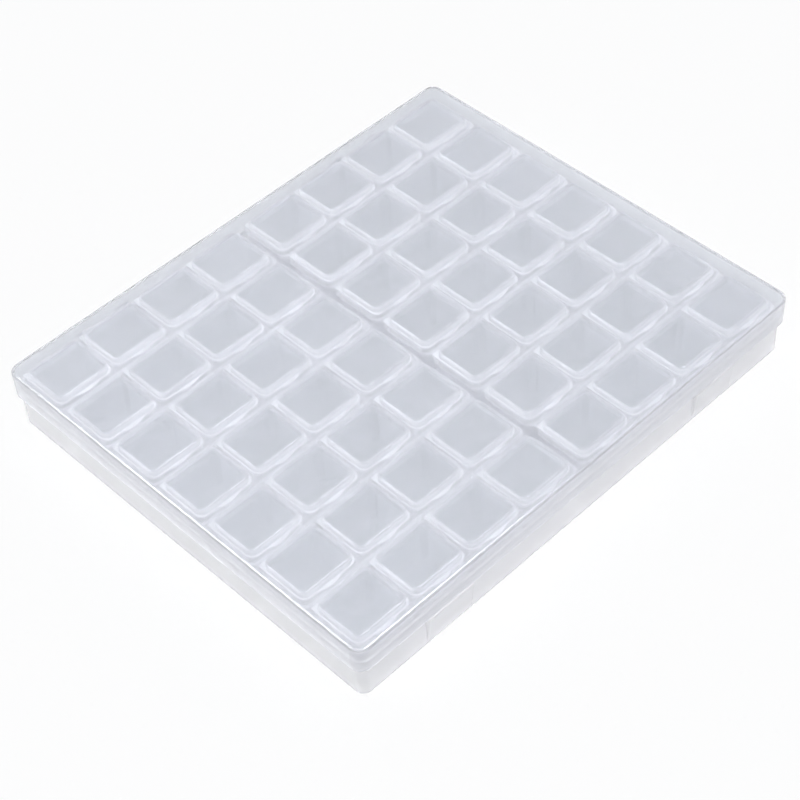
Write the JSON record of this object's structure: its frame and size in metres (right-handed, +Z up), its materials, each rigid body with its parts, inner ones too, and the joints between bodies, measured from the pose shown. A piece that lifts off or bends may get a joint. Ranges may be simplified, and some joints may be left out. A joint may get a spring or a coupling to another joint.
{
  "type": "bead organizer box",
  "caption": "Flat clear plastic box for beads: a hinged outer case holding strips of small square cells, each cell with its own flip lid and finger tab.",
  "frame": {"origin": "middle of the case's flat underside, on the surface it rests on", "axes": "+X along the long side, +Y towards the case hinge, away from the two front latches, +Z up"},
  "size_m": [0.21, 0.1796, 0.026],
  "materials": {
    "case_clear_plastic": "clear moulded polypropylene, glossy",
    "strip_frosted_plastic": "natural milky polypropylene, softly glossy",
    "cell_lid_clear_plastic": "clear moulded polypropylene, glossy"
  },
  "bodies": {
    "base_and_strips": {"case_base": "case_clear_plastic", "cell_strips_left": "strip_frosted_plastic", "cell_strips_right": "strip_frosted_plastic"},
    "case_lid": {"case_lid": "case_clear_plastic"},
    "cell_lid_row_1_column_1": {"cell_lid_row_1_column_1": "cell_lid_clear_plastic"},
    "cell_lid_row_1_column_2": {"cell_lid_row_1_column_2": "cell_lid_clear_plastic"},
    "cell_lid_row_1_column_3": {"cell_lid_row_1_column_3": "cell_lid_clear_plastic"},
    "cell_lid_row_1_column_4": {"cell_lid_row_1_column_4": "cell_lid_clear_plastic"},
    "cell_lid_row_1_column_5": {"cell_lid_row_1_column_5": "cell_lid_clear_plastic"},
    "cell_lid_row_1_column_6": {"cell_lid_row_1_column_6": "cell_lid_clear_plastic"},
    "cell_lid_row_1_column_7": {"cell_lid_row_1_column_7": "cell_lid_clear_plastic"},
    "cell_lid_row_1_column_8": {"cell_lid_row_1_column_8": "cell_lid_clear_plastic"},
    "cell_lid_row_2_column_1": {"cell_lid_row_2_column_1": "cell_lid_clear_plastic"},
    "cell_lid_row_2_column_2": {"cell_lid_row_2_column_2": "cell_lid_clear_plastic"},
    "cell_lid_row_2_column_3": {"cell_lid_row_2_column_3": "cell_lid_clear_plastic"},
    "cell_lid_row_2_column_4": {"cell_lid_row_2_column_4": "cell_lid_clear_plastic"},
    "cell_lid_row_2_column_5": {"cell_lid_row_2_column_5": "cell_lid_clear_plastic"},
    "cell_lid_row_2_column_6": {"cell_lid_row_2_column_6": "cell_lid_clear_plastic"},
    "cell_lid_row_2_column_7": {"cell_lid_row_2_column_7": "cell_lid_clear_plastic"},
    "cell_lid_row_2_column_8": {"cell_lid_row_2_column_8": "cell_lid_clear_plastic"},
    "cell_lid_row_3_column_1": {"cell_lid_row_3_column_1": "cell_lid_clear_plastic"},
    "cell_lid_row_3_column_2": {"cell_lid_row_3_column_2": "cell_lid_clear_plastic"},
    "cell_lid_row_3_column_3": {"cell_lid_row_3_column_3": "cell_lid_clear_plastic"},
    "cell_lid_row_3_column_4": {"cell_lid_row_3_column_4": "cell_lid_clear_plastic"},
    "cell_lid_row_3_column_5": {"cell_lid_row_3_column_5": "cell_lid_clear_plastic"},
    "cell_lid_row_3_column_6": {"cell_lid_row_3_column_6": "cell_lid_clear_plastic"},
    "cell_lid_row_3_column_7": {"cell_lid_row_3_column_7": "cell_lid_clear_plastic"},
    "cell_lid_row_3_column_8": {"cell_lid_row_3_column_8": "cell_lid_clear_plastic"},
    "cell_lid_row_4_column_1": {"cell_lid_row_4_column_1": "cell_lid_clear_plastic"},
    "cell_lid_row_4_column_2": {"cell_lid_row_4_column_2": "cell_lid_clear_plastic"},
    "cell_lid_row_4_column_3": {"cell_lid_row_4_column_3": "cell_lid_clear_plastic"},
    "cell_lid_row_4_column_4": {"cell_lid_row_4_column_4": "cell_lid_clear_plastic"},
    "cell_lid_row_4_column_5": {"cell_lid_row_4_column_5": "cell_lid_clear_plastic"},
    "cell_lid_row_4_column_6": {"cell_lid_row_4_column_6": "cell_lid_clear_plastic"},
    "cell_lid_row_4_column_7": {"cell_lid_row_4_column_7": "cell_lid_clear_plastic"},
    "cell_lid_row_4_column_8": {"cell_lid_row_4_column_8": "cell_lid_clear_plastic"},
    "cell_lid_row_5_column_1": {"cell_lid_row_5_column_1": "cell_lid_clear_plastic"},
    "cell_lid_row_5_column_2": {"cell_lid_row_5_column_2": "cell_lid_clear_plastic"},
    "cell_lid_row_5_column_3": {"cell_lid_row_5_column_3": "cell_lid_clear_plastic"},
    "cell_lid_row_5_column_4": {"cell_lid_row_5_column_4": "cell_lid_clear_plastic"},
    "cell_lid_row_5_column_5": {"cell_lid_row_5_column_5": "cell_lid_clear_plastic"},
    "cell_lid_row_5_column_6": {"cell_lid_row_5_column_6": "cell_lid_clear_plastic"},
    "cell_lid_row_5_column_7": {"cell_lid_row_5_column_7": "cell_lid_clear_plastic"},
    "cell_lid_row_5_column_8": {"cell_lid_row_5_column_8": "cell_lid_clear_plastic"},
    "cell_lid_row_6_column_1": {"cell_lid_row_6_column_1": "cell_lid_clear_plastic"},
    "cell_lid_row_6_column_2": {"cell_lid_row_6_column_2": "cell_lid_clear_plastic"},
    "cell_lid_row_6_column_3": {"cell_lid_row_6_column_3": "cell_lid_clear_plastic"},
    "cell_lid_row_6_column_4": {"cell_lid_row_6_column_4": "cell_lid_clear_plastic"},
    "cell_lid_row_6_column_5": {"cell_lid_row_6_column_5": "cell_lid_clear_plastic"},
    "cell_lid_row_6_column_6": {"cell_lid_row_6_column_6": "cell_lid_clear_plastic"},
    "cell_lid_row_6_column_7": {"cell_lid_row_6_column_7": "cell_lid_clear_plastic"},
    "cell_lid_row_6_column_8": {"cell_lid_row_6_column_8": "cell_lid_clear_plastic"},
    "cell_lid_row_7_column_1": {"cell_lid_row_7_column_1": "cell_lid_clear_plastic"},
    "cell_lid_row_7_column_2": {"cell_lid_row_7_column_2": "cell_lid_clear_plastic"},
    "cell_lid_row_7_column_3": {"cell_lid_row_7_column_3": "cell_lid_clear_plastic"},
    "cell_lid_row_7_column_4": {"cell_lid_row_7_column_4": "cell_lid_clear_plastic"},
    "cell_lid_row_7_column_5": {"cell_lid_row_7_column_5": "cell_lid_clear_plastic"},
    "cell_lid_row_7_column_6": {"cell_lid_row_7_column_6": "cell_lid_clear_plastic"},
    "cell_lid_row_7_column_7": {"cell_lid_row_7_column_7": "cell_lid_clear_plastic"},
    "cell_lid_row_7_column_8": {"cell_lid_row_7_column_8": "cell_lid_clear_plastic"}
  },
  "joints": [
    {"name": "case_lid_hinge", "type": "hinge", "parent": "base_and_strips", "child": "case_lid", "pos_m": [0, 0.0897, 0.013], "axis": [-1, 0, 0], "range_deg": [0, 180]},
    {"name": "cell_lid_hinge_row_1_column_1", "type": "hinge", "parent": "base_and_strips", "child": "cell_lid_row_1_column_1", "pos_m": [-0.08895, -0.06155, 0.0209], "axis": [-1, 0, 0], "range_deg": [0, 110]},
    {"name": "cell_lid_hinge_row_1_column_2", "type": "hinge", "parent": "base_and_strips", "child": "cell_lid_row_1_column_2", "pos_m": [-0.06405, -0.06155, 0.0209], "axis": [-1, 0, 0], "range_deg": [0, 110]},
    {"name": "cell_lid_hinge_row_1_column_3", "type": "hinge", "parent": "base_and_strips", "child": "cell_lid_row_1_column_3", "pos_m": [-0.03915, -0.06155, 0.0209], "axis": [-1, 0, 0], "range_deg": [0, 110]},
    {"name": "cell_lid_hinge_row_1_column_4", "type": "hinge", "parent": "base_and_strips", "child": "cell_lid_row_1_column_4", "pos_m": [-0.01425, -0.06155, 0.0209], "axis": [-1, 0, 0], "range_deg": [0, 110]},
    {"name": "cell_lid_hinge_row_1_column_5", "type": "hinge", "parent": "base_and_strips", "child": "cell_lid_row_1_column_5", "pos_m": [0.01425, -0.06155, 0.0209], "axis": [-1, 0, 0], "range_deg": [0, 110]},
    {"name": "cell_lid_hinge_row_1_column_6", "type": "hinge", "parent": "base_and_strips", "child": "cell_lid_row_1_column_6", "pos_m": [0.03915, -0.06155, 0.0209], "axis": [-1, 0, 0], "range_deg": [0, 110]},
    {"name": "cell_lid_hinge_row_1_column_7", "type": "hinge", "parent": "base_and_strips", "child": "cell_lid_row_1_column_7", "pos_m": [0.06405, -0.06155, 0.0209], "axis": [-1, 0, 0], "range_deg": [0, 110]},
    {"name": "cell_lid_hinge_row_1_column_8", "type": "hinge", "parent": "base_and_strips", "child": "cell_lid_row_1_column_8", "pos_m": [0.08895, -0.06155, 0.0209], "axis": [-1, 0, 0], "range_deg": [0, 110]},
    {"name": "cell_lid_hinge_row_2_column_1", "type": "hinge", "parent": "base_and_strips", "child": "cell_lid_row_2_column_1", "pos_m": [-0.08895, -0.03725, 0.0209], "axis": [-1, 0, 0], "range_deg": [0, 110]},
    {"name": "cell_lid_hinge_row_2_column_2", "type": "hinge", "parent": "base_and_strips", "child": "cell_lid_row_2_column_2", "pos_m": [-0.06405, -0.03725, 0.0209], "axis": [-1, 0, 0], "range_deg": [0, 110]},
    {"name": "cell_lid_hinge_row_2_column_3", "type": "hinge", "parent": "base_and_strips", "child": "cell_lid_row_2_column_3", "pos_m": [-0.03915, -0.03725, 0.0209], "axis": [-1, 0, 0], "range_deg": [0, 110]},
    {"name": "cell_lid_hinge_row_2_column_4", "type": "hinge", "parent": "base_and_strips", "child": "cell_lid_row_2_column_4", "pos_m": [-0.01425, -0.03725, 0.0209], "axis": [-1, 0, 0], "range_deg": [0, 110]},
    {"name": "cell_lid_hinge_row_2_column_5", "type": "hinge", "parent": "base_and_strips", "child": "cell_lid_row_2_column_5", "pos_m": [0.01425, -0.03725, 0.0209], "axis": [-1, 0, 0], "range_deg": [0, 110]},
    {"name": "cell_lid_hinge_row_2_column_6", "type": "hinge", "parent": "base_and_strips", "child": "cell_lid_row_2_column_6", "pos_m": [0.03915, -0.03725, 0.0209], "axis": [-1, 0, 0], "range_deg": [0, 110]},
    {"name": "cell_lid_hinge_row_2_column_7", "type": "hinge", "parent": "base_and_strips", "child": "cell_lid_row_2_column_7", "pos_m": [0.06405, -0.03725, 0.0209], "axis": [-1, 0, 0], "range_deg": [0, 110]},
    {"name": "cell_lid_hinge_row_2_column_8", "type": "hinge", "parent": "base_and_strips", "child": "cell_lid_row_2_column_8", "pos_m": [0.08895, -0.03725, 0.0209], "axis": [-1, 0, 0], "range_deg": [0, 110]},
    {"name": "cell_lid_hinge_row_3_column_1", "type": "hinge", "parent": "base_and_strips", "child": "cell_lid_row_3_column_1", "pos_m": [-0.08895, -0.01295, 0.0209], "axis": [-1, 0, 0], "range_deg": [0, 110]},
    {"name": "cell_lid_hinge_row_3_column_2", "type": "hinge", "parent": "base_and_strips", "child": "cell_lid_row_3_column_2", "pos_m": [-0.06405, -0.01295, 0.0209], "axis": [-1, 0, 0], "range_deg": [0, 110]},
    {"name": "cell_lid_hinge_row_3_column_3", "type": "hinge", "parent": "base_and_strips", "child": "cell_lid_row_3_column_3", "pos_m": [-0.03915, -0.01295, 0.0209], "axis": [-1, 0, 0], "range_deg": [0, 110]},
    {"name": "cell_lid_hinge_row_3_column_4", "type": "hinge", "parent": "base_and_strips", "child": "cell_lid_row_3_column_4", "pos_m": [-0.01425, -0.01295, 0.0209], "axis": [-1, 0, 0], "range_deg": [0, 110]},
    {"name": "cell_lid_hinge_row_3_column_5", "type": "hinge", "parent": "base_and_strips", "child": "cell_lid_row_3_column_5", "pos_m": [0.01425, -0.01295, 0.0209], "axis": [-1, 0, 0], "range_deg": [0, 110]},
    {"name": "cell_lid_hinge_row_3_column_6", "type": "hinge", "parent": "base_and_strips", "child": "cell_lid_row_3_column_6", "pos_m": [0.03915, -0.01295, 0.0209], "axis": [-1, 0, 0], "range_deg": [0, 110]},
    {"name": "cell_lid_hinge_row_3_column_7", "type": "hinge", "parent": "base_and_strips", "child": "cell_lid_row_3_column_7", "pos_m": [0.06405, -0.01295, 0.0209], "axis": [-1, 0, 0], "range_deg": [0, 110]},
    {"name": "cell_lid_hinge_row_3_column_8", "type": "hinge", "parent": "base_and_strips", "child": "cell_lid_row_3_column_8", "pos_m": [0.08895, -0.01295, 0.0209], "axis": [-1, 0, 0], "range_deg": [0, 110]},
    {"name": "cell_lid_hinge_row_4_column_1", "type": "hinge", "parent": "base_and_strips", "child": "cell_lid_row_4_column_1", "pos_m": [-0.08895, 0.01135, 0.0209], "axis": [-1, 0, 0], "range_deg": [0, 110]},
    {"name": "cell_lid_hinge_row_4_column_2", "type": "hinge", "parent": "base_and_strips", "child": "cell_lid_row_4_column_2", "pos_m": [-0.06405, 0.01135, 0.0209], "axis": [-1, 0, 0], "range_deg": [0, 110]},
    {"name": "cell_lid_hinge_row_4_column_3", "type": "hinge", "parent": "base_and_strips", "child": "cell_lid_row_4_column_3", "pos_m": [-0.03915, 0.01135, 0.0209], "axis": [-1, 0, 0], "range_deg": [0, 110]},
    {"name": "cell_lid_hinge_row_4_column_4", "type": "hinge", "parent": "base_and_strips", "child": "cell_lid_row_4_column_4", "pos_m": [-0.01425, 0.01135, 0.0209], "axis": [-1, 0, 0], "range_deg": [0, 110]},
    {"name": "cell_lid_hinge_row_4_column_5", "type": "hinge", "parent": "base_and_strips", "child": "cell_lid_row_4_column_5", "pos_m": [0.01425, 0.01135, 0.0209], "axis": [-1, 0, 0], "range_deg": [0, 110]},
    {"name": "cell_lid_hinge_row_4_column_6", "type": "hinge", "parent": "base_and_strips", "child": "cell_lid_row_4_column_6", "pos_m": [0.03915, 0.01135, 0.0209], "axis": [-1, 0, 0], "range_deg": [0, 110]},
    {"name": "cell_lid_hinge_row_4_column_7", "type": "hinge", "parent": "base_and_strips", "child": "cell_lid_row_4_column_7", "pos_m": [0.06405, 0.01135, 0.0209], "axis": [-1, 0, 0], "range_deg": [0, 110]},
    {"name": "cell_lid_hinge_row_4_column_8", "type": "hinge", "parent": "base_and_strips", "child": "cell_lid_row_4_column_8", "pos_m": [0.08895, 0.01135, 0.0209], "axis": [-1, 0, 0], "range_deg": [0, 110]},
    {"name": "cell_lid_hinge_row_5_column_1", "type": "hinge", "parent": "base_and_strips", "child": "cell_lid_row_5_column_1", "pos_m": [-0.08895, 0.03565, 0.0209], "axis": [-1, 0, 0], "range_deg": [0, 110]},
    {"name": "cell_lid_hinge_row_5_column_2", "type": "hinge", "parent": "base_and_strips", "child": "cell_lid_row_5_column_2", "pos_m": [-0.06405, 0.03565, 0.0209], "axis": [-1, 0, 0], "range_deg": [0, 110]},
    {"name": "cell_lid_hinge_row_5_column_3", "type": "hinge", "parent": "base_and_strips", "child": "cell_lid_row_5_column_3", "pos_m": [-0.03915, 0.03565, 0.0209], "axis": [-1, 0, 0], "range_deg": [0, 110]},
    {"name": "cell_lid_hinge_row_5_column_4", "type": "hinge", "parent": "base_and_strips", "child": "cell_lid_row_5_column_4", "pos_m": [-0.01425, 0.03565, 0.0209], "axis": [-1, 0, 0], "range_deg": [0, 110]},
    {"name": "cell_lid_hinge_row_5_column_5", "type": "hinge", "parent": "base_and_strips", "child": "cell_lid_row_5_column_5", "pos_m": [0.01425, 0.03565, 0.0209], "axis": [-1, 0, 0], "range_deg": [0, 110]},
    {"name": "cell_lid_hinge_row_5_column_6", "type": "hinge", "parent": "base_and_strips", "child": "cell_lid_row_5_column_6", "pos_m": [0.03915, 0.03565, 0.0209], "axis": [-1, 0, 0], "range_deg": [0, 110]},
    {"name": "cell_lid_hinge_row_5_column_7", "type": "hinge", "parent": "base_and_strips", "child": "cell_lid_row_5_column_7", "pos_m": [0.06405, 0.03565, 0.0209], "axis": [-1, 0, 0], "range_deg": [0, 110]},
    {"name": "cell_lid_hinge_row_5_column_8", "type": "hinge", "parent": "base_and_strips", "child": "cell_lid_row_5_column_8", "pos_m": [0.08895, 0.03565, 0.0209], "axis": [-1, 0, 0], "range_deg": [0, 110]},
    {"name": "cell_lid_hinge_row_6_column_1", "type": "hinge", "parent": "base_and_strips", "child": "cell_lid_row_6_column_1", "pos_m": [-0.08895, 0.05995, 0.0209], "axis": [-1, 0, 0], "range_deg": [0, 110]},
    {"name": "cell_lid_hinge_row_6_column_2", "type": "hinge", "parent": "base_and_strips", "child": "cell_lid_row_6_column_2", "pos_m": [-0.06405, 0.05995, 0.0209], "axis": [-1, 0, 0], "range_deg": [0, 110]},
    {"name": "cell_lid_hinge_row_6_column_3", "type": "hinge", "parent": "base_and_strips", "child": "cell_lid_row_6_column_3", "pos_m": [-0.03915, 0.05995, 0.0209], "axis": [-1, 0, 0], "range_deg": [0, 110]},
    {"name": "cell_lid_hinge_row_6_column_4", "type": "hinge", "parent": "base_and_strips", "child": "cell_lid_row_6_column_4", "pos_m": [-0.01425, 0.05995, 0.0209], "axis": [-1, 0, 0], "range_deg": [0, 110]},
    {"name": "cell_lid_hinge_row_6_column_5", "type": "hinge", "parent": "base_and_strips", "child": "cell_lid_row_6_column_5", "pos_m": [0.01425, 0.05995, 0.0209], "axis": [-1, 0, 0], "range_deg": [0, 110]},
    {"name": "cell_lid_hinge_row_6_column_6", "type": "hinge", "parent": "base_and_strips", "child": "cell_lid_row_6_column_6", "pos_m": [0.03915, 0.05995, 0.0209], "axis": [-1, 0, 0], "range_deg": [0, 110]},
    {"name": "cell_lid_hinge_row_6_column_7", "type": "hinge", "parent": "base_and_strips", "child": "cell_lid_row_6_column_7", "pos_m": [0.06405, 0.05995, 0.0209], "axis": [-1, 0, 0], "range_deg": [0, 110]},
    {"name": "cell_lid_hinge_row_6_column_8", "type": "hinge", "parent": "base_and_strips", "child": "cell_lid_row_6_column_8", "pos_m": [0.08895, 0.05995, 0.0209], "axis": [-1, 0, 0], "range_deg": [0, 110]},
    {"name": "cell_lid_hinge_row_7_column_1", "type": "hinge", "parent": "base_and_strips", "child": "cell_lid_row_7_column_1", "pos_m": [-0.08895, 0.08425, 0.0209], "axis": [-1, 0, 0], "range_deg": [0, 110]},
    {"name": "cell_lid_hinge_row_7_column_2", "type": "hinge", "parent": "base_and_strips", "child": "cell_lid_row_7_column_2", "pos_m": [-0.06405, 0.08425, 0.0209], "axis": [-1, 0, 0], "range_deg": [0, 110]},
    {"name": "cell_lid_hinge_row_7_column_3", "type": "hinge", "parent": "base_and_strips", "child": "cell_lid_row_7_column_3", "pos_m": [-0.03915, 0.08425, 0.0209], "axis": [-1, 0, 0], "range_deg": [0, 110]},
    {"name": "cell_lid_hinge_row_7_column_4", "type": "hinge", "parent": "base_and_strips", "child": "cell_lid_row_7_column_4", "pos_m": [-0.01425, 0.08425, 0.0209], "axis": [-1, 0, 0], "range_deg": [0, 110]},
    {"name": "cell_lid_hinge_row_7_column_5", "type": "hinge", "parent": "base_and_strips", "child": "cell_lid_row_7_column_5", "pos_m": [0.01425, 0.08425, 0.0209], "axis": [-1, 0, 0], "range_deg": [0, 110]},
    {"name": "cell_lid_hinge_row_7_column_6", "type": "hinge", "parent": "base_and_strips", "child": "cell_lid_row_7_column_6", "pos_m": [0.03915, 0.08425, 0.0209], "axis": [-1, 0, 0], "range_deg": [0, 110]},
    {"name": "cell_lid_hinge_row_7_column_7", "type": "hinge", "parent": "base_and_strips", "child": "cell_lid_row_7_column_7", "pos_m": [0.06405, 0.08425, 0.0209], "axis": [-1, 0, 0], "range_deg": [0, 110]},
    {"name": "cell_lid_hinge_row_7_column_8", "type": "hinge", "parent": "base_and_strips", "child": "cell_lid_row_7_column_8", "pos_m": [0.08895, 0.08425, 0.0209], "axis": [-1, 0, 0], "range_deg": [0, 110]}
  ],
  "couplings": [
    {"joint": "cell_lid_hinge_row_1_column_1", "follows": "case_lid_hinge", "ratio": 0.61},
    {"joint": "cell_lid_hinge_row_1_column_2", "follows": "case_lid_hinge", "ratio": 0.61},
    {"joint": "cell_lid_hinge_row_1_column_3", "follows": "case_lid_hinge", "ratio": 0.61},
    {"joint": "cell_lid_hinge_row_1_column_4", "follows": "case_lid_hinge", "ratio": 0.61},
    {"joint": "cell_lid_hinge_row_1_column_5", "follows": "case_lid_hinge", "ratio": 0.61},
    {"joint": "cell_lid_hinge_row_1_column_6", "follows": "case_lid_hinge", "ratio": 0.61},
    {"joint": "cell_lid_hinge_row_1_column_7", "follows": "case_lid_hinge", "ratio": 0.61},
    {"joint": "cell_lid_hinge_row_1_column_8", "follows": "case_lid_hinge", "ratio": 0.61},
    {"joint": "cell_lid_hinge_row_2_column_1", "follows": "case_lid_hinge", "ratio": 0.61},
    {"joint": "cell_lid_hinge_row_2_column_2", "follows": "case_lid_hinge", "ratio": 0.61},
    {"joint": "cell_lid_hinge_row_2_column_3", "follows": "case_lid_hinge", "ratio": 0.61},
    {"joint": "cell_lid_hinge_row_2_column_4", "follows": "case_lid_hinge", "ratio": 0.61},
    {"joint": "cell_lid_hinge_row_2_column_5", "follows": "case_lid_hinge", "ratio": 0.61},
    {"joint": "cell_lid_hinge_row_2_column_6", "follows": "case_lid_hinge", "ratio": 0.61},
    {"joint": "cell_lid_hinge_row_2_column_7", "follows": "case_lid_hinge", "ratio": 0.61},
    {"joint": "cell_lid_hinge_row_2_column_8", "follows": "case_lid_hinge", "ratio": 0.61},
    {"joint": "cell_lid_hinge_row_3_column_1", "follows": "case_lid_hinge", "ratio": 0.61},
    {"joint": "cell_lid_hinge_row_3_column_2", "follows": "case_lid_hinge", "ratio": 0.61},
    {"joint": "cell_lid_hinge_row_3_column_3", "follows": "case_lid_hinge", "ratio": 0.61},
    {"joint": "cell_lid_hinge_row_3_column_4", "follows": "case_lid_hinge", "ratio": 0.61},
    {"joint": "cell_lid_hinge_row_3_column_5", "follows": "case_lid_hinge", "ratio": 0.61},
    {"joint": "cell_lid_hinge_row_3_column_6", "follows": "case_lid_hinge", "ratio": 0.61},
    {"joint": "cell_lid_hinge_row_3_column_7", "follows": "case_lid_hinge", "ratio": 0.61},
    {"joint": "cell_lid_hinge_row_3_column_8", "follows": "case_lid_hinge", "ratio": 0.61},
    {"joint": "cell_lid_hinge_row_4_column_1", "follows": "case_lid_hinge", "ratio": 0.61},
    {"joint": "cell_lid_hinge_row_4_column_2", "follows": "case_lid_hinge", "ratio": 0.61},
    {"joint": "cell_lid_hinge_row_4_column_3", "follows": "case_lid_hinge", "ratio": 0.61},
    {"joint": "cell_lid_hinge_row_4_column_4", "follows": "case_lid_hinge", "ratio": 0.61},
    {"joint": "cell_lid_hinge_row_4_column_5", "follows": "case_lid_hinge", "ratio": 0.61},
    {"joint": "cell_lid_hinge_row_4_column_6", "follows": "case_lid_hinge", "ratio": 0.61},
    {"joint": "cell_lid_hinge_row_4_column_7", "follows": "case_lid_hinge", "ratio": 0.61},
    {"joint": "cell_lid_hinge_row_4_column_8", "follows": "case_lid_hinge", "ratio": 0.61},
    {"joint": "cell_lid_hinge_row_5_column_1", "follows": "case_lid_hinge", "ratio": 0.61},
    {"joint": "cell_lid_hinge_row_5_column_2", "follows": "case_lid_hinge", "ratio": 0.61},
    {"joint": "cell_lid_hinge_row_5_column_3", "follows": "case_lid_hinge", "ratio": 0.61},
    {"joint": "cell_lid_hinge_row_5_column_4", "follows": "case_lid_hinge", "ratio": 0.61},
    {"joint": "cell_lid_hinge_row_5_column_5", "follows": "case_lid_hinge", "ratio": 0.61},
    {"joint": "cell_lid_hinge_row_5_column_6", "follows": "case_lid_hinge", "ratio": 0.61},
    {"joint": "cell_lid_hinge_row_5_column_7", "follows": "case_lid_hinge", "ratio": 0.61},
    {"joint": "cell_lid_hinge_row_5_column_8", "follows": "case_lid_hinge", "ratio": 0.61},
    {"joint": "cell_lid_hinge_row_6_column_1", "follows": "case_lid_hinge", "ratio": 0.61},
    {"joint": "cell_lid_hinge_row_6_column_2", "follows": "case_lid_hinge", "ratio": 0.61},
    {"joint": "cell_lid_hinge_row_6_column_3", "follows": "case_lid_hinge", "ratio": 0.61},
    {"joint": "cell_lid_hinge_row_6_column_4", "follows": "case_lid_hinge", "ratio": 0.61},
    {"joint": "cell_lid_hinge_row_6_column_5", "follows": "case_lid_hinge", "ratio": 0.61},
    {"joint": "cell_lid_hinge_row_6_column_6", "follows": "case_lid_hinge", "ratio": 0.61},
    {"joint": "cell_lid_hinge_row_6_column_7", "follows": "case_lid_hinge", "ratio": 0.61},
    {"joint": "cell_lid_hinge_row_6_column_8", "follows": "case_lid_hinge", "ratio": 0.61},
    {"joint": "cell_lid_hinge_row_7_column_1", "follows": "case_lid_hinge", "ratio": 0.61},
    {"joint": "cell_lid_hinge_row_7_column_2", "follows": "case_lid_hinge", "ratio": 0.61},
    {"joint": "cell_lid_hinge_row_7_column_3", "follows": "case_lid_hinge", "ratio": 0.61},
    {"joint": "cell_lid_hinge_row_7_column_4", "follows": "case_lid_hinge", "ratio": 0.61},
    {"joint": "cell_lid_hinge_row_7_column_5", "follows": "case_lid_hinge", "ratio": 0.61},
    {"joint": "cell_lid_hinge_row_7_column_6", "follows": "case_lid_hinge", "ratio": 0.61},
    {"joint": "cell_lid_hinge_row_7_column_7", "follows": "case_lid_hinge", "ratio": 0.61},
    {"joint": "cell_lid_hinge_row_7_column_8", "follows": "case_lid_hinge", "ratio": 0.61}
  ]
}
